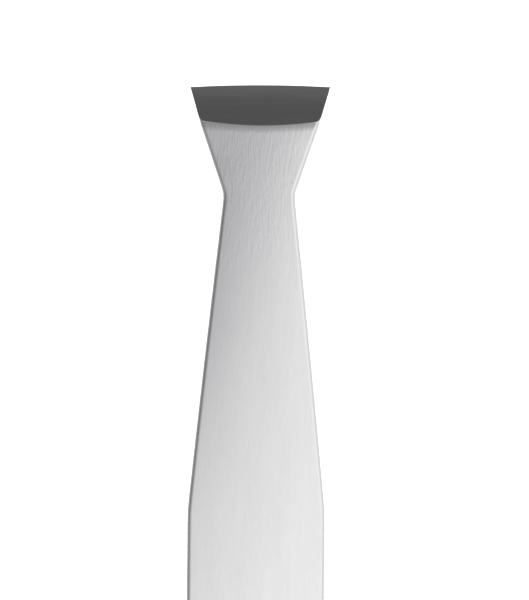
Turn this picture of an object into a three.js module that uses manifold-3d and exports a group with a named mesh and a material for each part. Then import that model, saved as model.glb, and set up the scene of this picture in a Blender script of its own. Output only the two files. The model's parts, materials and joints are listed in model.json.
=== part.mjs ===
// Wide-tip beauty tweezers: two spring-steel arms welded together at the tail.
//
// Each half is one strip of steel. Its first stretch, the tail leaf, is welded flat to the other half's,
// and the rest is the arm, which bends at the end of the weld and is held here by a hinge at that line.
// A half is modelled with the tips closed: x runs across the strip, y along it from the tail's end to the
// tip, and z outwards from the plane where the two halves meet. The hinge then opens it to its free pose,
// and the pair is laid down on the lower arm's belly and tail. Millimetres, +Z up.
import * as THREE from "three";
import { mergeVertices } from "three/addons/utils/BufferGeometryUtils.js";
import Module from "manifold-3d";

// Driving dimensions: the strip's outline, with distances back from the tip.
const LENGTH = 95;
const TIP_WIDTH = 9.75;
const TIP_BULGE = 0.16;
const HEEL_WIDTH = 8.17;
const HEEL_BACK = 2.76;
const WAIST_WIDTH = 4.84;
const WAIST_BACK = 7.57;
const WAIST_ROUNDING = 0.17;
const GRIP_WIDTH = 9.5;
const SHOULDER_BACK = 29.45;
const SHOULDER_ROUNDING = 0.05;
const SIDE_BULGE = 0.035;
const GRIP_END_BACK = 46;
const TAIL_WIDTH = 6.6;
const TAIL_CORNER_RADIUS = 1.6;

// Driving dimensions: the strip's thickness and how far its outer face is domed.
const THICKNESS = 1.25;
const SPRING_THICKNESS = 0.95;
const SPRING_START = 13;
const SPRING_FULL = 21;
const SPRING_FADE = 40;
const SPRING_END = 62;
const DOME = 0.2;
const FLAT_SHARE = 0.6;
const DOME_START = 18;
const DOME_FULL = 45;

// Driving dimensions: the weld, the hinge line at its end, and the free opening between the tips.
const WELD_LENGTH = 14;
const HINGE_GAP = 0.3;
const FAYING_GAP = 0.02;
const TIP_OPENING = 5;
const WELD_SPOT_RADIUS = 1.5;
const WELD_SPOT_DEPTH = 0.4;
const WELD_SPOT_CLEARANCE = 0.05;
const WELD_SPOTS_AT = [4.5, 10];

// Driving dimensions: the bow of the arm's inner face, from the hinge to where the jaw turns in.
const BOW_START_HEIGHT = 0.03;
const BOW_START_SLOPE = 0.014;
const BOW_END_HEIGHT = 1.4;
const BOW_END_SLOPE = -0.11;

// Driving dimensions: the jaw, whose lands meet when the tips close, and the facet ground on its outside.
const JAW_BACK = 2.5;
const LAND_BACK = 0.9;
const LAND_CLEARANCE = 0.02;
const TIP_EDGE_HEIGHT = 0.2;
const FACET_ANGLE = THREE.MathUtils.degToRad(41.6);

// Sides of a weld spot, and the size of the block that cuts the facet.
const WELD_SPOT_SIDES = 32;
const CUTTER_SIZE = 30;

// Lanes of faces across a strip, and the stretch either side of its corners where its rows are closer.
const LANES = 3;
const CORNER_STRETCH = 1;

// How far either side of the spring's end, and in how many steps, the belly the pair lies on is sought.
const BELLY_REACH = 20;
const BELLY_STEPS = 200;

const armStart = WELD_LENGTH + HINGE_GAP;
const hingeAt = WELD_LENGTH + HINGE_GAP / 2;
const jawAt = LENGTH - JAW_BACK;
const landAt = LENGTH - LAND_BACK;
const openAngle = Math.asin(TIP_OPENING / 2 / (LENGTH - hingeAt));

const { lerp, smoothstep } = THREE.MathUtils;

// The larger or smaller of two widths, with the corner where they cross rounded off.
const roundedLarger = (a, b, rounding) => (a + b + Math.hypot(a - b, rounding)) / 2;
const roundedSmaller = (a, b, rounding) => (a + b - Math.hypot(a - b, rounding)) / 2;

// Half the strip's width at a distance along it: a flared tip, a waist, the grip and a tapering tail.
function halfWidth(along) {
  const back = LENGTH - along;
  if (back <= HEEL_BACK) return lerp(TIP_WIDTH, HEEL_WIDTH, back / HEEL_BACK) / 2;
  const flare = lerp(HEEL_WIDTH, WAIST_WIDTH, (back - HEEL_BACK) / (WAIST_BACK - HEEL_BACK)) / 2;
  const side = (back - WAIST_BACK) / (SHOULDER_BACK - WAIST_BACK);
  const bulge = side > 0 && side < 1 ? SIDE_BULGE * 4 * side * (1 - side) : 0;
  const body = lerp(WAIST_WIDTH, GRIP_WIDTH, side) / 2 + bulge;
  const front = roundedSmaller(body, GRIP_WIDTH / 2, SHOULDER_ROUNDING);
  const taper = Math.max(0, (back - GRIP_END_BACK) / (LENGTH - GRIP_END_BACK));
  const narrowing = ((GRIP_WIDTH - TAIL_WIDTH) / 2) * (1 - Math.cos((taper * Math.PI) / 2));
  const into = Math.max(0, TAIL_CORNER_RADIUS - along);
  const corner = TAIL_CORNER_RADIUS - Math.sqrt(TAIL_CORNER_RADIUS ** 2 - into ** 2);
  return roundedLarger(flare, front, WAIST_ROUNDING) - narrowing - corner;
}

// Height of the arm's bowed inner face: a cubic between its two ends' heights and slopes.
function bowHeight(along) {
  const span = jawAt - armStart;
  const f = (along - armStart) / span;
  return (
    BOW_START_HEIGHT * (2 * f ** 3 - 3 * f ** 2 + 1) +
    BOW_START_SLOPE * span * (f ** 3 - 2 * f ** 2 + f) +
    BOW_END_HEIGHT * (3 * f ** 2 - 2 * f ** 3) +
    BOW_END_SLOPE * span * (f ** 3 - f ** 2)
  );
}

function innerHeight(along) {
  if (along <= WELD_LENGTH) return FAYING_GAP / 2;
  if (along <= jawAt) return bowHeight(along);
  return lerp(BOW_END_HEIGHT, LAND_CLEARANCE, Math.min(1, (along - jawAt) / (landAt - jawAt)));
}

function thickness(along) {
  const thinned = smoothstep(along, SPRING_START, SPRING_FULL) - smoothstep(along, SPRING_FADE, SPRING_END);
  return THICKNESS - (THICKNESS - SPRING_THICKNESS) * thinned;
}

// Height of the outer face, which is flat in the middle and falls away towards its sides, at -1 and 1.
function outerHeight(along, across) {
  const middle =
    along <= jawAt
      ? innerHeight(along) + thickness(along)
      : BOW_END_HEIGHT + THICKNESS + BOW_END_SLOPE * (along - jawAt);
  const fall = Math.max(0, Math.abs(across) - FLAT_SHARE) / (1 - FLAT_SHARE);
  return middle - DOME * smoothstep(along, DOME_START, DOME_FULL) * fall ** 2;
}

// Distances along the strip through the given stops, each reached in its own number of equal steps.
function stations(start, stops) {
  const found = [start];
  for (const [stop, steps] of stops) {
    const from = found.at(-1);
    for (let i = 1; i <= steps; i++) found.push(lerp(from, stop, i / steps));
  }
  return found;
}

// A box of a few lanes with a row of vertices at each station, pulled into the strip's shape.
function stripGeometry(rowsAt) {
  const rows = rowsAt.length - 1;
  const geometry = new THREE.BoxGeometry(2, rows, 2, LANES, rows, 1);
  const position = geometry.getAttribute("position");
  for (let i = 0; i < position.count; i++) {
    const side = position.getX(i);
    const across = Math.abs(side) < 1 ? Math.sign(side) * FLAT_SHARE : side;
    const along = rowsAt[Math.round(position.getY(i) + rows / 2)];
    const height = position.getZ(i) > 0 ? outerHeight(along, across) : innerHeight(along);
    const bulge = along === LENGTH ? TIP_BULGE * across ** 2 : 0;
    position.setXYZ(i, across * halfWidth(along), along - bulge, height);
  }
  return geometry;
}

const wasm = await Module();
wasm.setup();

// A closed geometry as a manifold-3d solid, and a solid as a geometry again.
function solidOf(geometry) {
  const bare = geometry.clone();
  bare.deleteAttribute("normal");
  bare.deleteAttribute("uv");
  const merged = mergeVertices(bare);
  return new wasm.Manifold(
    new wasm.Mesh({
      numProp: 3,
      vertProperties: merged.getAttribute("position").array,
      triVerts: new Uint32Array(merged.index.array),
    }),
  );
}

function geometryOf(solid) {
  const mesh = solid.getMesh();
  const geometry = new THREE.BufferGeometry();
  geometry.setAttribute("position", new THREE.BufferAttribute(mesh.vertProperties, 3));
  geometry.setIndex(new THREE.BufferAttribute(mesh.triVerts, 1));
  geometry.computeVertexNormals();
  return geometry;
}

// A short upright cylinder centred on the weld plane at a distance along the tail.
function spotGeometry(along, radius, depth) {
  const geometry = new THREE.CylinderGeometry(radius, radius, 2 * depth, WELD_SPOT_SIDES);
  return geometry.rotateX(Math.PI / 2).translate(0, along, 0);
}

// The welded end of a half, with a shallow pocket in its inner face for each fused spot.
function tailLeafGeometry() {
  const rowsAt = stations(0, [
    [TAIL_CORNER_RADIUS, 6],
    [SPRING_START, 4],
    [WELD_LENGTH, 1],
  ]);
  let leaf = solidOf(stripGeometry(rowsAt));
  for (const along of WELD_SPOTS_AT) {
    const radius = WELD_SPOT_RADIUS + WELD_SPOT_CLEARANCE;
    leaf = leaf.subtract(solidOf(spotGeometry(along, radius, WELD_SPOT_DEPTH + WELD_SPOT_CLEARANCE)));
  }
  return geometryOf(leaf);
}

// The free part of a half, with the flat facet ground across the outside of its jaw.
function armGeometry() {
  const rowsAt = stations(armStart, [
    [SPRING_FULL, 4],
    [SPRING_FADE, 6],
    [LENGTH - SHOULDER_BACK - CORNER_STRETCH, 10],
    [LENGTH - SHOULDER_BACK + CORNER_STRETCH, 4],
    [LENGTH - WAIST_BACK - CORNER_STRETCH, 9],
    [LENGTH - WAIST_BACK + CORNER_STRETCH, 6],
    [jawAt, 5],
    [landAt, 2],
    [LENGTH, 1],
  ]);
  const cutter = new THREE.BoxGeometry(CUTTER_SIZE, CUTTER_SIZE, CUTTER_SIZE)
    .translate(0, 0, CUTTER_SIZE / 2)
    .rotateX(-FACET_ANGLE)
    .translate(0, LENGTH, TIP_EDGE_HEIGHT);
  return geometryOf(solidOf(stripGeometry(rowsAt)).subtract(solidOf(cutter)));
}

const brushedSteel = new THREE.MeshStandardMaterial({ color: 0xc9cacc, roughness: 0.35, metalness: 1 });
const weldSteel = new THREE.MeshStandardMaterial({ color: 0x8f9092, roughness: 0.6, metalness: 1 });

function named(name, geometry, material) {
  const mesh = new THREE.Mesh(geometry, material);
  mesh.name = name;
  return mesh;
}

// One half: its tail leaf, and its arm turned open about the hinge line at the end of the weld.
function half(side) {
  const group = new THREE.Group();
  group.add(named(`${side}_tail_leaf`, tailLeafGeometry(), brushedSteel));
  const hinge = new THREE.Group();
  hinge.name = `${side}_hinge`;
  hinge.position.set(0, hingeAt, SPRING_THICKNESS / 2);
  hinge.rotation.x = openAngle;
  const arm = named(`${side}_arm`, armGeometry(), brushedSteel);
  arm.position.set(0, -hingeAt, -SPRING_THICKNESS / 2);
  hinge.add(arm);
  group.add(hinge);
  return group;
}

// The steepest line from the edge of the tail's end to the lower arm's outer face, which the pair lies on.
function restingAngle() {
  const tailEdge = outerHeight(0, 0);
  const slopeTo = (along) => {
    const opened = outerHeight(along, 0) + Math.tan(openAngle) * (along - hingeAt);
    return (opened - tailEdge) / along;
  };
  const steps = stations(SPRING_END - BELLY_REACH, [[SPRING_END + BELLY_REACH, BELLY_STEPS]]);
  return Math.atan(Math.max(...steps.map(slopeTo)));
}

const tweezers = new THREE.Group();
tweezers.add(half("upper"));
const lower = half("lower");
lower.rotation.y = Math.PI;
tweezers.add(lower);
WELD_SPOTS_AT.forEach((along, i) => {
  const spot = spotGeometry(along, WELD_SPOT_RADIUS, WELD_SPOT_DEPTH);
  tweezers.add(named(`spot_weld_${i + 1}`, spot, weldSteel));
});

// The pair lies on its lower arm, centred over the origin, with its lowest point at z = 0.
tweezers.rotation.x = restingAngle();
tweezers.updateMatrixWorld(true);
const box = new THREE.Box3().setFromObject(tweezers, true);
const centre = box.getCenter(new THREE.Vector3());
tweezers.position.set(-centre.x, -centre.y, -box.min.z);

export default tweezers;
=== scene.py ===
"""A pair of wide-tip beauty tweezers: two brushed steel strips welded at the tail, in a plain studio.

A strip is modelled with the tips closed: x runs across it, y along it from the tail's end to the tip, and z
outwards from the plane where the two strips meet. It is then bent open at the front of the weld and laid in
the frame. Lengths are in metres.
"""

import json
import math

import bmesh
import bpy
from bpy.props import FloatProperty, FloatVectorProperty, IntProperty, PointerProperty
from mathutils import Matrix, Vector


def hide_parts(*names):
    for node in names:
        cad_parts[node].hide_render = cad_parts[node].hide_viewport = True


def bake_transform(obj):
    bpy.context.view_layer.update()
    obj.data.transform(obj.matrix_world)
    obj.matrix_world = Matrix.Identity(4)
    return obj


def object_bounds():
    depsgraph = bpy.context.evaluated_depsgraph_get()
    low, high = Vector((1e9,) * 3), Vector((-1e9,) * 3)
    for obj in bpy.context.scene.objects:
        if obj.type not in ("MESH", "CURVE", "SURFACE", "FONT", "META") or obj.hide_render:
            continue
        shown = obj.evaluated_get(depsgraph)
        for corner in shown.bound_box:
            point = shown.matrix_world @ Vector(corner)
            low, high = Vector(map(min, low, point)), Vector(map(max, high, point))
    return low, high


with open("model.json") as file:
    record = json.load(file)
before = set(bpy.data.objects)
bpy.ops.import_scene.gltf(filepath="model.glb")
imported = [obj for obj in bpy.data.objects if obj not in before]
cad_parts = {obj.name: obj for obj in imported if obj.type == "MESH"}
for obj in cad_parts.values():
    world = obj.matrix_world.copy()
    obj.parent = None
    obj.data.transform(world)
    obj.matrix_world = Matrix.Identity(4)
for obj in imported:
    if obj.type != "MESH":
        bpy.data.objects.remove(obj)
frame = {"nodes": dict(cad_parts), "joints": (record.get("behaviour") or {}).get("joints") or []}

bl_info = {
    "name": "Wide-Tip Tweezers",
    "version": (1, 0, 0),
    "blender": (4, 5, 0),
    "location": "View3D > Sidebar > Tweezers",
    "description": "Builds brushed steel tweezers on their packed frame, and a plain studio",
    "category": "Add Mesh",
}

CAD_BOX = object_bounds()
JOINTS = {joint["name"]: joint for joint in frame["joints"]}
UPPER_HINGE = Vector(JOINTS["upper_arm_flex"]["pos_m"])
LOWER_HINGE = Vector(JOINTS["lower_arm_flex"]["pos_m"])
OPEN_ANGLE = math.radians(JOINTS["upper_arm_flex"]["range_deg"][1])

# Columns of faces across a strip, how much wider than its rounding the column along each edge is, rows of
# faces along a rounded corner of the tail, and sides of a weld pocket.
LANES = 18
EDGE_LANE_MARGIN = 0.00006
TAIL_CORNER_ROWS = 10
POCKET_SIDES = 48

# How near the cutting plane a vertex counts as lying on it.
ON_PLANE = 1e-8

# Upright share of a face's normal: a wall has less than the first, and a brushed face more than the second.
WALL_NORMAL = 0.3
BRUSHED_NORMAL = 0.8

# How near the tip's end an edge stays sharp, and how near the hinge line the strip is curved at rest.
SHARP_TIP = 0.0001
CURVED_HINGE = 0.001

# The order of a strip's materials.
BRUSHED, TUMBLED, GROUND = range(3)

# Octaves of each noise in the brushed grain and how strong the finer ones are, and the values it mostly has.
GRAIN_NOISE = {"Streaks": (4, 0.62), "Patches": (2, 0.5)}
NOISE_LOW, NOISE_HIGH = 0.3, 0.7

# Grain of the finer steels, per metre along each axis of the frame.
TUMBLED_GRAIN = (4000, 900, 4000)
GROUND_GRAIN = (700, 6000, 6000)
FUSED_GRAIN = (3000, 3000, 3000)

# The studio's sky: how far towards its dark side, from -1 to 1, and how bright it is there.
SKY_SHADES = (
    (-1, 1.1), (-0.5, 1.15), (-0.28, 1.13), (-0.16, 1.02), (-0.06, 0.86), (0.016, 0.71),
    (0.11, 0.56), (0.18, 0.46), (0.3, 0.38), (0.45, 0.3), (0.6, 0.215), (0.75, 0.16), (1, 0.14),
)

# Between which directions each part of the sky's light fades in: heights run from -1 straight down to 1
# straight up, and sides from -1 to 1 at the middle of the dark side.
BLUE_RISE_SIDES, BLUE_FALL_SIDES = (-0.12, 0.12), (0.25, 0.6)
OVERHEAD_HEIGHTS = (-0.4, 0.85)
GROUND_GLOW_HEIGHTS = (0.26, -0.14)
BRIGHT_GROUND_HEIGHTS, BRIGHT_GROUND_SIDES = (-0.05, -0.4), (0, -0.4)
SOFT_BOX_HEIGHTS, SOFT_BOX_SIDES = (0.45, 0.75), (0.5, 0.8)


def length(name, description, default):
    """A property that holds a length in metres."""
    return FloatProperty(name=name, description=description, default=default, unit="LENGTH", precision=6)


def colour(name, description, default):
    """A property that holds a linear colour."""
    return FloatVectorProperty(
        name=name, description=description, default=default, subtype="COLOR", min=0, max=1
    )


class StripOutline(bpy.types.PropertyGroup):
    """The outline of one strip of steel, with distances back from the tip."""

    length: length("Length", "From the tail's end to the middle of the tip", 0.09494)
    tip_width: length("Tip Width", "Width of the flared tip at its edge", 0.00975)
    tip_bulge: length("Tip Bulge", "How far the tip's edge is proud in its middle", 0.00013)
    tip_bulge_run: length("Tip Bulge Run", "How far back the rows of faces follow the tip's edge", 0.0006)
    tip_skew: FloatProperty(
        name="Tip Skew", description="Turn of the tip's edge from square",
        default=math.radians(0.5), subtype="ANGLE",
    )
    heel_width: length("Heel Width", "Width at the facet's heel", 0.00817)
    heel_back: length("Heel Back", "From the tip to the facet's heel at the sides", 0.00276)
    waist_width: length("Waist Width", "Width where the flare and the sides would cross", 0.00484)
    waist_back: length("Waist Back", "From the tip to the waist", 0.00757)
    waist_rounding: length("Waist Rounding", "How much the waist's corner is rounded", 0.00012)
    grip_width: length("Grip Width", "Width of the parallel grip", 0.0095)
    shoulder_back: length("Shoulder Back", "From the tip to the start of the grip", 0.02945)
    shoulder_rounding: length("Shoulder Rounding", "How much the shoulder is rounded", 0.00005)
    side_bulge: length("Side Bulge", "How far the sides bow out between waist and shoulder", 0.000035)
    grip_end_back: length("Grip End Back", "From the tip to the end of the grip", 0.046)
    tail_width: length("Tail Width", "Width of the tail", 0.0066)
    tail_corner: length("Tail Corner", "Radius of the tail's corners", 0.0016)


class StripSection(bpy.types.PropertyGroup):
    """Thickness, bow and edges of one strip of steel."""

    thickness: length("Thickness", "Thickness of the tail, grip and jaw", 0.00125)
    spring_thickness: length("Spring Thickness", "Thickness of the spring stretch", 0.00095)
    spring_start: length("Spring Start", "Where the strip begins to thin, from the tail", 0.013)
    spring_full: length("Spring Full", "Where the strip is thinnest first, from the tail", 0.021)
    spring_fade: length("Spring Fade", "Where the strip begins to thicken, from the tail", 0.040)
    spring_end: length("Spring End", "Where the strip is at full thickness again", 0.062)
    dome: length("Dome", "How far the outer face falls away at its sides", 0.0002)
    dome_width: length("Dome Width", "Width from which the outer face is fully domed", 0.0067)
    dome_narrowing: FloatProperty(
        name="Dome Narrowing", description="How fast the dome flattens where the strip is narrower",
        default=1.5,
    )
    dome_start: length("Dome Start", "Where the outer face begins to dome, from the tail", 0.018)
    dome_full: length("Dome Full", "Where the outer face is fully domed, from the tail", 0.045)
    weld_length: length("Weld Length", "Length of the welded tail", 0.014)
    hinge_gap: length("Hinge Gap", "Gap between tail leaf and arm in the frame", 0.0003)
    bend_length: length("Bend Length", "How far in front of the weld the strip bends", 0.018)
    faying_gap: length("Faying Gap", "Gap between the two welded leaves", 0.00002)
    weld_spot_near: length("Weld Spot Near", "From the tail's end to the first fused spot", 0.0045)
    weld_spot_far: length("Weld Spot Far", "From the tail's end to the second fused spot", 0.010)
    weld_pocket_radius: length("Weld Pocket Radius", "Radius of the pocket round a fused spot", 0.00155)
    weld_pocket_depth: length("Weld Pocket Depth", "Depth of the pocket round a fused spot", 0.00045)
    bow_start_height: length("Bow Start Height", "Height of the inner face at the weld", 0.00003)
    bow_start_slope: FloatProperty(name="Bow Start Slope", description="Its slope there", default=0.014)
    bow_end_height: length("Bow End Height", "Height of the inner face at the jaw", 0.0014)
    bow_end_slope: FloatProperty(name="Bow End Slope", description="Its slope there", default=-0.11)
    jaw_back: length("Jaw Back", "From the tip to where the jaw turns in", 0.0025)
    jaw_rounding: length("Jaw Rounding", "How much the turn into the jaw is rounded", 0.0003)
    land_back: length("Land Back", "From the tip to the start of the meeting land", 0.0009)
    land_rounding: length("Land Rounding", "How much the start of the land is rounded", 0.00006)
    land_clearance: length("Land Clearance", "From the land to the middle plane when closed", 0.00002)
    outer_edge: length("Outer Edge", "Radius of the tumbled edges of the outer face", 0.00026)
    inner_edge: length("Inner Edge", "Radius of the tumbled edges of the inner face", 0.00012)
    edge_segments: IntProperty(name="Edge Segments", description="Faces round each tumbled edge", default=6)


class FacetShape(bpy.types.PropertyGroup):
    """The facet ground across the outside of each jaw."""

    angle: FloatProperty(
        name="Angle", description="Slope of the facet against the closed plane",
        default=math.radians(40.7), subtype="ANGLE",
    )
    edge_height: length("Edge Height", "Height of the facet over the closed plane at the tip", 0.0002)
    run: length("Run", "Length of the facet along the strip", 0.00285)
    crown: FloatProperty(
        name="Crown", description="How much the facet turns from heel to tip",
        default=math.radians(6), subtype="ANGLE",
    )
    passes: IntProperty(name="Passes", description="Flats that make up the crowned facet", default=10)
    heel_sweep: length("Heel Sweep", "How far the heel comes forward at the sides", 0.0002)
    heel_roll: length("Heel Roll", "How far the face has been polished down at the heel", 0.00005)
    heel_roll_run: length("Heel Roll Run", "How far back from the heel that polish reaches", 0.0005)
    rim: length("Rim", "Width of the broken edge round the facet", 0.00004)


class SteelFinish(bpy.types.PropertyGroup):
    """Colours and grain of the steel."""

    bright: colour("Bright", "Colour on the crests of the brushed grain", (0.78, 0.78, 0.78))
    dull: colour("Dull", "Colour in the grain's furrows", (0.758, 0.758, 0.763))
    facet: colour("Facet", "Colour of the finely ground facet", (0.55, 0.55, 0.55))
    edge: colour("Edge", "Colour of the tumbled edges", (0.76, 0.76, 0.765))
    weld: colour("Weld", "Colour of the fused spots", (0.44, 0.43, 0.42))
    face_roughness: FloatProperty(name="Face Roughness", description="Brushed faces", default=0.26)
    face_spread: FloatProperty(name="Face Spread", description="How much that differs", default=0.03)
    facet_roughness: FloatProperty(name="Facet Roughness", description="Ground facets", default=0.22)
    edge_roughness: FloatProperty(name="Edge Roughness", description="Tumbled edges", default=0.26)
    weld_roughness: FloatProperty(name="Weld Roughness", description="Fused spots", default=0.55)
    fine_spread: FloatProperty(name="Fine Spread", description="How much those three differ", default=0.04)
    fine_tint_spread: FloatProperty(
        name="Fine Tint Spread", description="How much their colours differ, as a share", default=0.06
    )
    streak_width: length("Streak Width", "Width of one brushed streak", 0.00017)
    streak_length: length("Streak Length", "Length of one brushed streak", 0.001)
    grain_depth: length("Grain Depth", "Depth of the brushed streaks by the jaw", 0.000016)
    body_grain: FloatProperty(name="Body Grain", description="Depth on the body, as a share", default=0.22)
    jaw_grain_start: length("Jaw Grain Start", "Where the deeper streaks begin, along the frame's Y", 0.030)
    jaw_grain_full: length("Jaw Grain Full", "Where the streaks are deepest, along the frame's Y", 0.042)


class Studio(bpy.types.PropertyGroup):
    """Floor, light and camera."""

    floor_colour: colour("Floor Colour", "Pale floor", (0.90, 0.90, 0.90))
    floor_size: length("Floor Size", "Side of the floor", 12)
    floor_gap: length("Floor Gap", "From the floor up to the tweezers", 0.00002)
    sun_strength: FloatProperty(name="Sun Strength", description="Soft light from above", default=6.5)
    sun_angle: FloatProperty(
        name="Sun Angle", description="Softness of the light from above",
        default=math.radians(70), subtype="ANGLE",
    )
    sky_turn: FloatProperty(
        name="Sky Turn", description="How far the sky's dark side is turned from +Y towards -X",
        default=math.radians(37), subtype="ANGLE",
    )
    sky_blue: FloatProperty(
        name="Sky Blue", description="Extra blue where the sky is half dark", default=0.035
    )
    low_sky: FloatProperty(
        name="Low Sky", description="Brightness near the ground against overhead", default=0.35
    )
    ground_glow: FloatProperty(name="Ground Glow", description="Light added below the horizon", default=0.37)
    bright_ground: FloatProperty(
        name="Bright Ground", description="Light added well below the horizon on the bright side",
        default=0.22,
    )
    soft_box: FloatProperty(name="Soft Box", description="Light added high over the dark side", default=0.4)
    lens: FloatProperty(name="Lens", description="Focal length in millimetres", default=300)
    view_height: length("View Height", "Height of the stretch in view at the upper arm's face", 0.0416)
    tip_above_middle: length("Tip Above Middle", "From the middle of the view to the tip", 0.01497)
    middle_right: length("Middle Right", "How far right of the strip the view's middle is", 0.000435)
    roll: FloatProperty(
        name="Roll", description="Turn of the camera about its axis",
        default=math.radians(0.54), subtype="ANGLE",
    )


def rounded_larger(a, b, rounding):
    """The larger of two widths, with the corner where they cross rounded off."""
    return (a + b + math.hypot(a - b, rounding)) / 2


def rounded_smaller(a, b, rounding):
    return (a + b - math.hypot(a - b, rounding)) / 2


def mix(a, b, share):
    return a + (b - a) * share


def ease(value, start, end):
    """0 before start, 1 after end, and a smooth rise between them."""
    share = min(1, max(0, (value - start) / (end - start)))
    return share * share * (3 - 2 * share)


def half_width(outline, along):
    """Half the strip's width at a distance along it: flared tip, waist, grip and tapering tail."""
    back = outline.length - along
    if back <= outline.heel_back:
        from_corner = (back - outline.tip_bulge) / (outline.heel_back - outline.tip_bulge)
        return mix(outline.tip_width, outline.heel_width, from_corner) / 2
    flared = (back - outline.heel_back) / (outline.waist_back - outline.heel_back)
    flare = mix(outline.heel_width, outline.waist_width, flared) / 2
    side = (back - outline.waist_back) / (outline.shoulder_back - outline.waist_back)
    bulge = outline.side_bulge * 4 * side * (1 - side) if 0 < side < 1 else 0
    body = mix(outline.waist_width, outline.grip_width, side) / 2 + bulge
    front = rounded_smaller(body, outline.grip_width / 2, outline.shoulder_rounding)
    taper = max(0, (back - outline.grip_end_back) / (outline.length - outline.grip_end_back))
    narrowing = (outline.grip_width - outline.tail_width) / 2 * (1 - math.cos(taper * math.pi / 2))
    into = max(0, outline.tail_corner - along)
    corner = outline.tail_corner - math.sqrt(max(0, outline.tail_corner**2 - into**2))
    return rounded_larger(flare, front, outline.waist_rounding) - narrowing - corner


def bow_height(outline, section, along):
    """Height of the bowed inner face before the jaw turns in: a cubic, with straight ends."""
    arm_start = section.weld_length + section.hinge_gap
    jaw_at = outline.length - section.jaw_back
    if along < arm_start:
        risen = ease(along, section.weld_length, arm_start)
        return mix(section.faying_gap / 2, section.bow_start_height, risen)
    if along > jaw_at:
        return section.bow_end_height + section.bow_end_slope * (along - jaw_at)
    span = jaw_at - arm_start
    f = (along - arm_start) / span
    return (
        section.bow_start_height * (2 * f**3 - 3 * f**2 + 1)
        + section.bow_start_slope * span * (f**3 - 2 * f**2 + f)
        + section.bow_end_height * (3 * f**2 - 2 * f**3)
        + section.bow_end_slope * span * (f**3 - f**2)
    )


def inner_height(outline, section, along):
    """Height of the inner face: the bow, then the turn into the jaw, then the land."""
    bow = bow_height(outline, section, along)
    past_jaw = along - (outline.length - section.jaw_back)
    # far enough behind the jaw for its rounding to have faded out
    if past_jaw < -3 * section.jaw_rounding:
        return bow
    drop = section.bow_end_height - section.land_clearance
    turned_in = section.bow_end_height - drop * past_jaw / (section.jaw_back - section.land_back)
    inside = rounded_smaller(bow, turned_in, section.jaw_rounding)
    return rounded_larger(inside, section.land_clearance, section.land_rounding)


def thickness(section, along):
    thinned = ease(along, section.spring_start, section.spring_full)
    thinned -= ease(along, section.spring_fade, section.spring_end)
    return mix(section.thickness, section.spring_thickness, thinned)


def outer_height(outline, section, facet, along, across):
    """Height of the domed outer face; across runs from -1 to 1."""
    middle = bow_height(outline, section, along) + thickness(section, along)
    narrow = min(1, 2 * half_width(outline, along) / section.dome_width) ** section.dome_narrowing
    dome = section.dome * narrow * ease(along, section.dome_start, section.dome_full) * across**2
    heel = facet.run - facet.heel_sweep * across**2
    past_heel = heel + facet.heel_roll_run - (outline.length - along)
    # whatever lies past the heel is ground away with the facet
    roll = facet.heel_roll * min(1.2, max(0, past_heel / facet.heel_roll_run)) ** 2
    return middle - dome - roll


def stations(outline, section):
    """Distances along the strip where it has a row of vertices, closer together where it turns."""
    found = [
        outline.tail_corner * (1 - math.cos(step / TAIL_CORNER_ROWS * math.pi / 2))
        for step in range(TAIL_CORNER_ROWS + 1)
    ]
    tip = outline.length
    # where each stretch ends, just before or after a turn, and its number of rows
    stops = (
        (section.weld_length - 0.001, 20),
        (section.weld_length + 0.002, 12),
        (tip - outline.grip_end_back, 40),
        (tip - outline.shoulder_back - 0.001, 24),
        (tip - outline.shoulder_back + 0.001, 10),
        (tip - outline.waist_back - 0.0012, 36),
        (tip - outline.waist_back + 0.0012, 16),
        (tip - section.jaw_back - 0.0010, 10),
        (tip - section.jaw_back + 0.0002, 24),
        (tip - section.land_back - 0.0003, 10),
        (tip - section.land_back + 0.0003, 8),
        (tip, 4),
    )
    for stop, stretch_rows in stops:
        begin = found[-1]
        found += [mix(begin, stop, row / stretch_rows) for row in range(1, stretch_rows + 1)]
    return found


def strip_solid(outline, section, facet):
    """One strip with square edges: a sheet with the strip's outline, extruded to its thickness."""
    rows = stations(outline, section)
    edge_lane = section.outer_edge + EDGE_LANE_MARGIN
    bm = bmesh.new()
    bmesh.ops.create_grid(bm, x_segments=LANES, y_segments=len(rows) - 1, size=1)
    for vert in bm.verts:
        along = rows[round((vert.co.y + 1) / 2 * (len(rows) - 1))]
        bulge = outline.tip_bulge * ease(along, outline.length - outline.tip_bulge_run, outline.length)
        half = half_width(outline, along - bulge)
        inner_half = (half - edge_lane) / (1 - 2 / LANES)
        at_side = round(abs(vert.co.x), 3) == 1
        x = math.copysign(half, vert.co.x) if at_side else vert.co.x * inner_half
        across = x / half
        skew = math.tan(outline.tip_skew) * x * bulge / outline.tip_bulge
        y = along - bulge * across**2 + skew
        vert.co = (x, y, outer_height(outline, section, facet, along, across))
    made = bmesh.ops.extrude_face_region(bm, geom=bm.faces[:])
    for vert in (item for item in made["geom"] if isinstance(item, bmesh.types.BMVert)):
        vert.co.z = inner_height(outline, section, vert.co.y)
    bmesh.ops.recalc_face_normals(bm, faces=bm.faces[:])
    return bm


def is_wall(face):
    return abs(face.normal.z) < WALL_NORMAL


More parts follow.
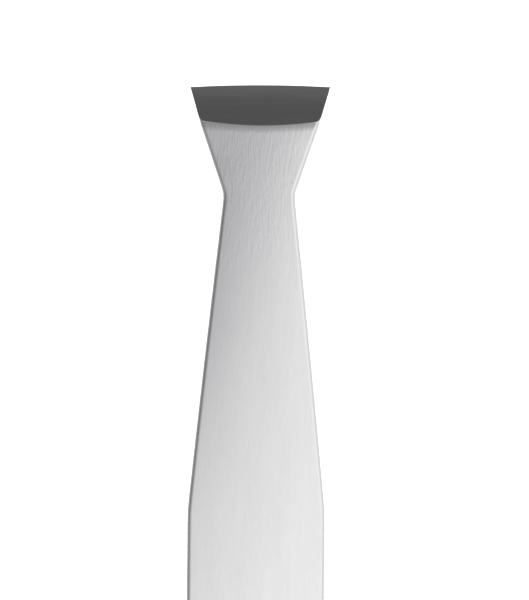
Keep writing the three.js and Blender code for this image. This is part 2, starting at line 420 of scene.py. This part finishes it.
def tumble_edges(bm, outline, section):
    """Rounds the long edges and the tail's edges, where a wall meets the outer or the inner face."""
    tip_end = outline.length - outline.tip_bulge - SHARP_TIP
    rims = {"outer": [], "inner": []}
    for edge in bm.edges:
        walls = [face for face in edge.link_faces if is_wall(face)]
        if len(walls) != 1 or min(vert.co.y for vert in edge.verts) > tip_end:
            continue
        other = next(face for face in edge.link_faces if face is not walls[0])
        if max(vert.co.y for vert in edge.verts) > tip_end and len({v.co.x > 0 for v in edge.verts}) > 1:
            continue
        rims["outer" if other.normal.z > 0 else "inner"].append(edge)
    for rim, radius in (("inner", section.inner_edge), ("outer", section.outer_edge)):
        bmesh.ops.bevel(
            bm, geom=rims[rim], offset=radius, offset_type="OFFSET", segments=section.edge_segments,
            profile=0.5, affect="EDGES", clamp_overlap=False, material=-1, loop_slide=True,
        )


def grind_facet(bm, outline, facet):
    """Cuts the facet across the jaw in passes that turn a little from heel to tip, and breaks its edges."""
    tip_edge = Vector((0, outline.length, facet.edge_height))
    chord = Vector((0, -math.cos(facet.angle), math.sin(facet.angle))) * (facet.run / math.cos(facet.angle))
    outwards = Vector((0, math.sin(facet.angle), math.cos(facet.angle)))
    sagitta = chord.length * facet.crown / 8
    for each in range(facet.passes):
        share = (each + 0.5) / facet.passes
        turn = facet.crown * (0.5 - share)
        normal = Matrix.Rotation(-turn, 3, "X") @ outwards
        touch = tip_edge + chord * share + outwards * sagitta * 4 * share * (1 - share)
        cut = bmesh.ops.bisect_plane(
            bm, geom=bm.verts[:] + bm.edges[:] + bm.faces[:], dist=ON_PLANE,
            plane_co=touch, plane_no=normal, clear_outer=True,
        )
        rim = [item for item in cut["geom_cut"] if isinstance(item, bmesh.types.BMEdge)]
        filled = bmesh.ops.contextual_create(bm, geom=rim)
        for face in filled["faces"]:
            face.material_index = GROUND
    ground = [face for face in bm.faces if face.material_index == GROUND]
    bmesh.ops.inset_region(
        bm, faces=ground, thickness=facet.rim, depth=0, use_boundary=True, use_even_offset=True
    )


def settle_materials(bm):
    """Brushed on the faces, tumbled on walls and rounded edges, ground on the facet."""
    for face in bm.faces:
        if face.material_index != GROUND:
            face.material_index = BRUSHED if abs(face.normal.z) > BRUSHED_NORMAL else TUMBLED
        face.smooth = True


def bend_open(bm, section):
    """Turns everything in front of the weld outwards about the hinge line."""
    hinge = Vector((0, section.weld_length + section.hinge_gap / 2, section.spring_thickness / 2))
    for vert in bm.verts:
        turn = OPEN_ANGLE * ease(vert.co.y, hinge.y - CURVED_HINGE, hinge.y + CURVED_HINGE)
        vert.co = hinge + Matrix.Rotation(turn, 3, "X") @ (vert.co - hinge)


def strip_place(section, side):
    """Where a strip's own axes lie in the frame; the lower one is half a turn round the long axis."""
    up = (UPPER_HINGE - LOWER_HINGE).normalized()
    across = Vector((1, 0, 0))
    forward = up.cross(across)
    tail_end = (UPPER_HINGE + LOWER_HINGE) / 2 - forward * (section.weld_length + section.hinge_gap / 2)
    place = Matrix.Translation(tail_end) @ Matrix((across, forward, up)).transposed().to_4x4()
    return place if side == "upper" else place @ Matrix.Rotation(math.pi, 4, "Y")


def new_piece(name, bm, materials):
    """An object at the origin that holds the finished bmesh."""
    mesh = bpy.data.meshes.new(name)
    bm.to_mesh(mesh)
    bm.free()
    for material in materials:
        mesh.materials.append(material)
    piece = bpy.data.objects.new(name, mesh)
    bpy.context.scene.collection.objects.link(piece)
    return piece


def cut_weld_pockets(strip, section):
    """Cuts the shallow pockets in a strip's inner face that the fused spots sit in."""
    # turned so that none of its corners lies on the strip's middle line
    off_middle = Matrix.Rotation(math.pi / POCKET_SIDES, 4, "Z")
    bm = bmesh.new()
    for along in (section.weld_spot_near, section.weld_spot_far):
        bmesh.ops.create_cone(
            bm, cap_ends=True, segments=POCKET_SIDES, depth=2 * section.weld_pocket_depth,
            radius1=section.weld_pocket_radius, radius2=section.weld_pocket_radius,
            matrix=strip_place(section, "upper") @ Matrix.Translation((0, along, 0)) @ off_middle,
        )
    cutter = new_piece("weld_pockets", bm, [])
    cut = strip.modifiers.new("weld pockets", "BOOLEAN")
    cut.operation = "DIFFERENCE"
    cut.solver = "EXACT"
    cut.object = cutter
    whole = strip.data
    evaluated = strip.evaluated_get(bpy.context.evaluated_depsgraph_get())
    strip.data = bpy.data.meshes.new_from_object(evaluated)
    strip.modifiers.clear()
    for mesh in (whole, cutter.data):
        bpy.data.meshes.remove(mesh)


def new_material(name):
    """A material with only a Principled shader, whose node tree and shader are returned too."""
    material = bpy.data.materials.new(name)
    material.use_nodes = True
    tree = material.node_tree
    return material, tree, tree.nodes["Principled BSDF"]


def map_range(tree, source, start, end, low, high, smooth=False):
    """A node's output taken from start and end to low and high, in a straight line or an S-curve."""
    node = tree.nodes.new("ShaderNodeMapRange")
    if smooth:
        node.interpolation_type = "SMOOTHSTEP"
    for name, value in {"From Min": start, "From Max": end, "To Min": low, "To Max": high}.items():
        node.inputs[name].default_value = value
    tree.links.new(source, node.inputs["Value"])
    return node.outputs["Result"]


def combined(tree, kind, operation, first, second):
    """The sum or product of two outputs, or of an output and a number, in a node of the given kind."""
    node = tree.nodes.new(kind)
    node.operation = operation
    for given, socket in ((first, node.inputs[0]), (second, node.inputs[1])):
        if isinstance(given, bpy.types.NodeSocket):
            tree.links.new(given, socket)
        else:
            socket.default_value = given
    return node.outputs[0]


def brushed_grain():
    """Node group: fine streaks along an object's Y axis and broad cloudy patches."""
    group = bpy.data.node_groups.get("Brushed Grain")
    if group:
        return group
    group = bpy.data.node_groups.new("Brushed Grain", "ShaderNodeTree")
    group.interface.new_socket("Streaks per Metre", in_out="INPUT", socket_type="NodeSocketVector")
    group.interface.new_socket("Patches per Metre", in_out="INPUT", socket_type="NodeSocketVector")
    group.interface.new_socket("Streaks", in_out="OUTPUT", socket_type="NodeSocketFloat")
    group.interface.new_socket("Patches", in_out="OUTPUT", socket_type="NodeSocketFloat")
    nodes, links = group.nodes, group.links
    given, put_out = nodes.new("NodeGroupInput"), nodes.new("NodeGroupOutput")
    place = nodes.new("ShaderNodeTexCoord")
    for name, (detail, roughness) in GRAIN_NOISE.items():
        per_metre = given.outputs[name + " per Metre"]
        scaled = combined(group, "ShaderNodeVectorMath", "MULTIPLY", place.outputs["Object"], per_metre)
        noise = nodes.new("ShaderNodeTexNoise")
        noise.inputs["Scale"].default_value = 1
        noise.inputs["Detail"].default_value = detail
        noise.inputs["Roughness"].default_value = roughness
        links.new(scaled, noise.inputs["Vector"])
        links.new(noise.outputs["Fac"], put_out.inputs[name])
    return group


def brushed_steel(finish):
    """Steel brushed along the strip: streaks in colour, roughness and height."""
    material, tree, shader = new_material("brushed_steel")
    nodes, links = tree.nodes, tree.links
    grain = nodes.new("ShaderNodeGroup")
    grain.node_tree = brushed_grain()
    across, along = 1 / finish.streak_width, 1 / finish.streak_length
    # patches are broader and longer than streaks, and both run through the thickness more slowly
    grain.inputs["Streaks per Metre"].default_value = (across, along, across / 5)
    grain.inputs["Patches per Metre"].default_value = (across / 4, along / 8, across / 8)
    streaks = grain.outputs["Streaks"]
    halves = [combined(tree, "ShaderNodeMath", "MULTIPLY", noise, 0.5) for noise in grain.outputs]
    both = combined(tree, "ShaderNodeMath", "ADD", *halves)
    share = map_range(tree, both, NOISE_LOW, NOISE_HIGH, 0, 1)
    mixed = nodes.new("ShaderNodeMix")
    mixed.data_type = "RGBA"
    mixed.inputs["A"].default_value = (*finish.dull, 1)
    mixed.inputs["B"].default_value = (*finish.bright, 1)
    links.new(share, mixed.inputs["Factor"])
    links.new(mixed.outputs["Result"], shader.inputs["Base Color"])
    duller, glossier = finish.face_roughness + finish.face_spread, finish.face_roughness - finish.face_spread
    links.new(map_range(tree, share, 0, 1, duller, glossier), shader.inputs["Roughness"])
    place, apart = nodes.new("ShaderNodeTexCoord"), nodes.new("ShaderNodeSeparateXYZ")
    links.new(place.outputs["Object"], apart.inputs["Vector"])
    start, full = finish.jaw_grain_start, finish.jaw_grain_full
    by_jaw = map_range(tree, apart.outputs["Y"], start, full, finish.body_grain, 1, smooth=True)
    bump = nodes.new("ShaderNodeBump")
    bump.inputs["Distance"].default_value = finish.grain_depth
    links.new(combined(tree, "ShaderNodeMath", "MULTIPLY", streaks, by_jaw), bump.inputs["Height"])
    links.new(bump.outputs["Normal"], shader.inputs["Normal"])
    shader.inputs["Metallic"].default_value = 1
    return material


def fine_steel(finish, name, tint, roughness, streaks_per_metre):
    """Finely ground or tumbled steel, with only a trace of grain in its gloss and colour."""
    material, tree, shader = new_material(name)
    nodes, links = tree.nodes, tree.links
    grain = nodes.new("ShaderNodeGroup")
    grain.node_tree = brushed_grain()
    grain.inputs["Streaks per Metre"].default_value = streaks_per_metre
    # patches six times as broad as streaks
    grain.inputs["Patches per Metre"].default_value = [value / 6 for value in streaks_per_metre]
    glossier, duller = roughness - finish.fine_spread, roughness + finish.fine_spread
    links.new(map_range(tree, grain.outputs["Patches"], 0, 1, glossier, duller), shader.inputs["Roughness"])
    mixed = nodes.new("ShaderNodeMix")
    mixed.data_type = "RGBA"
    darker, lighter = 1 - finish.fine_tint_spread, 1 + finish.fine_tint_spread
    mixed.inputs["A"].default_value = (*[darker * value for value in tint], 1)
    mixed.inputs["B"].default_value = (*[min(1, lighter * value) for value in tint], 1)
    links.new(grain.outputs["Streaks"], mixed.inputs["Factor"])
    links.new(mixed.outputs["Result"], shader.inputs["Base Color"])
    shader.inputs["Metallic"].default_value = 1
    return material


class TWEEZERS_OT_strips(bpy.types.Operator):
    """Build the two welded steel strips, each bending from the tail to its arm"""

    bl_idname = "tweezers.strips"
    bl_label = "Strips"

    def execute(self, context):
        scene = context.scene
        outline, section, facet = scene.strip_outline, scene.strip_section, scene.facet_shape
        finish = scene.steel_finish
        steels = (
            brushed_steel(finish),
            fine_steel(finish, "tumbled_steel", finish.edge, finish.edge_roughness, TUMBLED_GRAIN),
            fine_steel(finish, "ground_steel", finish.facet, finish.facet_roughness, GROUND_GRAIN),
        )
        for side in ("upper", "lower"):
            bm = strip_solid(outline, section, facet)
            tumble_edges(bm, outline, section)
            grind_facet(bm, outline, facet)
            settle_materials(bm)
            bend_open(bm, section)
            place = strip_place(section, side)
            bmesh.ops.transform(bm, matrix=place, verts=bm.verts[:])
            strip = new_piece(f"{side}_strip", bm, steels)
            cut_weld_pockets(strip, section)
            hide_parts(f"{side}_arm", f"{side}_tail_leaf")
            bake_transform(strip)
        return {"FINISHED"}


class TWEEZERS_OT_welds(bpy.types.Operator):
    """Finish the fused spots between the two tails"""

    bl_idname = "tweezers.welds"
    bl_label = "Welds"

    def execute(self, context):
        finish = context.scene.steel_finish
        fused = fine_steel(finish, "fused_steel", finish.weld, finish.weld_roughness, FUSED_GRAIN)
        for name in ("spot_weld_1", "spot_weld_2"):
            for material_slot in frame["nodes"][name].material_slots:
                material_slot.material = fused
        return {"FINISHED"}


def studio_sky(studio):
    """A sky that shades from bright to dark in one direction, and is plain white where it is seen."""
    world = bpy.data.worlds.new("studio_sky")
    bpy.context.scene.world = world
    world.use_nodes = True
    tree = world.node_tree
    nodes, links = tree.nodes, tree.links
    direction, apart = nodes.new("ShaderNodeTexCoord"), nodes.new("ShaderNodeSeparateXYZ")
    links.new(direction.outputs["Generated"], apart.inputs["Vector"])
    up = apart.outputs["Z"]
    towards_dark = nodes.new("ShaderNodeVectorMath")
    towards_dark.operation = "DOT_PRODUCT"
    towards_dark.inputs[1].default_value = (-math.sin(studio.sky_turn), math.cos(studio.sky_turn), 0)
    links.new(direction.outputs["Generated"], towards_dark.inputs[0])
    dark = towards_dark.outputs["Value"]
    shade = nodes.new("ShaderNodeValToRGB")
    links.new(map_range(tree, dark, -1, 1, 0, 1), shade.inputs["Fac"])
    ramp = shade.color_ramp
    while len(ramp.elements) < len(SKY_SHADES):
        ramp.elements.new(0.5)
    for element, (towards, brightness) in zip(ramp.elements, SKY_SHADES):
        element.position = (towards + 1) / 2
        cool = studio.sky_blue * ease(towards, *BLUE_RISE_SIDES) * (1 - ease(towards, *BLUE_FALL_SIDES))
        element.color = (brightness, brightness, brightness * (1 + cool), 1)

    def fade(source, between, low, high):
        return map_range(tree, source, *between, low, high, smooth=True)

    def product(first, second):
        return combined(tree, "ShaderNodeVectorMath", "MULTIPLY", first, second)

    lit = product(shade.outputs["Color"], fade(up, OVERHEAD_HEIGHTS, studio.low_sky, 1))
    bright_ground = fade(up, BRIGHT_GROUND_HEIGHTS, 0, studio.bright_ground)
    soft_box = fade(up, SOFT_BOX_HEIGHTS, 0, studio.soft_box)
    for light in (
        fade(up, GROUND_GLOW_HEIGHTS, 0, studio.ground_glow),
        product(bright_ground, fade(dark, BRIGHT_GROUND_SIDES, 0, 1)),
        product(soft_box, fade(dark, SOFT_BOX_SIDES, 0, 1)),
    ):
        lit = combined(tree, "ShaderNodeVectorMath", "ADD", lit, light)
    seen, chosen = nodes.new("ShaderNodeLightPath"), nodes.new("ShaderNodeMix")
    chosen.data_type = "RGBA"
    chosen.inputs["B"].default_value = (1, 1, 1, 1)
    links.new(seen.outputs["Is Camera Ray"], chosen.inputs["Factor"])
    links.new(lit, chosen.inputs["A"])
    links.new(chosen.outputs["Result"], nodes["Background"].inputs["Color"])


def studio_camera(studio, section, outline):
    """Looks straight down on the outer face of the upper arm's front stretch."""
    place = strip_place(section, "upper")
    across, forward, up = (place.to_3x3().col[axis] for axis in range(3))
    # the face in view lies as high over the middle plane as the opened tip
    face_height = (outline.length - section.weld_length) * math.sin(OPEN_ANGLE) + section.thickness
    tip = place @ Vector((0, outline.length, face_height))
    middle = tip - forward * studio.tip_above_middle + across * studio.middle_right
    right = across * math.cos(studio.roll) + forward * math.sin(studio.roll)
    image_up = forward * math.cos(studio.roll) - across * math.sin(studio.roll)
    data = bpy.data.cameras.new("camera")
    data.lens = studio.lens
    distance = studio.view_height * studio.lens / data.sensor_width
    data.clip_start = 0.01
    data.clip_end = 100
    camera = bpy.data.objects.new("camera", data)
    bpy.context.scene.collection.objects.link(camera)
    turned = Matrix((right, image_up, up)).transposed().to_4x4()
    camera.matrix_world = Matrix.Translation(middle + up * distance) @ turned
    bpy.context.scene.camera = camera


class TWEEZERS_OT_studio(bpy.types.Operator):
    """Set up the pale floor, the soft light and the camera"""

    bl_idname = "tweezers.studio"
    bl_label = "Studio"

    def execute(self, context):
        scene = context.scene
        studio = scene.studio
        bm = bmesh.new()
        bmesh.ops.create_grid(bm, x_segments=1, y_segments=1, size=studio.floor_size / 2)
        material, _, shader = new_material("pale_floor")
        shader.inputs["Base Color"].default_value = (*studio.floor_colour, 1)
        shader.inputs["Roughness"].default_value = 1
        shader.inputs["Specular IOR Level"].default_value = 0
        floor = new_piece("floor", bm, [material])
        floor.location.z = CAD_BOX[0][2] - studio.floor_gap
        floor.visible_glossy = False
        sun = bpy.data.lights.new("soft_sun", "SUN")
        sun.energy = studio.sun_strength
        sun.angle = studio.sun_angle
        light = bpy.data.objects.new("soft_sun", sun)
        light.visible_glossy = False
        scene.collection.objects.link(light)
        studio_sky(studio)
        studio_camera(studio, scene.strip_section, scene.strip_outline)
        scene.view_settings.view_transform = "Standard"
        return {"FINISHED"}


OPERATORS = (TWEEZERS_OT_strips, TWEEZERS_OT_welds, TWEEZERS_OT_studio)


class TWEEZERS_PT_panel(bpy.types.Panel):
    """Lists the settings and the steps that build the tweezers"""

    bl_idname = "TWEEZERS_PT_panel"
    bl_label = "Tweezers"
    bl_space_type = "VIEW_3D"
    bl_region_type = "UI"
    bl_category = "Tweezers"

    def draw(self, context):
        for operator in OPERATORS:
            self.layout.operator(operator.bl_idname)
        for name in SETTINGS:
            box = self.layout.box()
            settings = getattr(context.scene, name)
            for key in settings.__annotations__:
                box.prop(settings, key)


SETTINGS = {
    "strip_outline": StripOutline,
    "strip_section": StripSection,
    "facet_shape": FacetShape,
    "steel_finish": SteelFinish,
    "studio": Studio,
}


def register():
    for settings in SETTINGS.values():
        bpy.utils.register_class(settings)
    for name, settings in SETTINGS.items():
        setattr(bpy.types.Scene, name, PointerProperty(type=settings))
    for operator in OPERATORS:
        bpy.utils.register_class(operator)
    bpy.utils.register_class(TWEEZERS_PT_panel)


def unregister():
    bpy.utils.unregister_class(TWEEZERS_PT_panel)
    for operator in reversed(OPERATORS):
        bpy.utils.unregister_class(operator)
    for name in SETTINGS:
        delattr(bpy.types.Scene, name)
    for settings in reversed(SETTINGS.values()):
        bpy.utils.unregister_class(settings)


def main():
    """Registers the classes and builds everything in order."""
    register()
    bpy.ops.tweezers.strips()
    bpy.ops.tweezers.welds()
    bpy.ops.tweezers.studio()


if __name__ == "__main__":
    main()
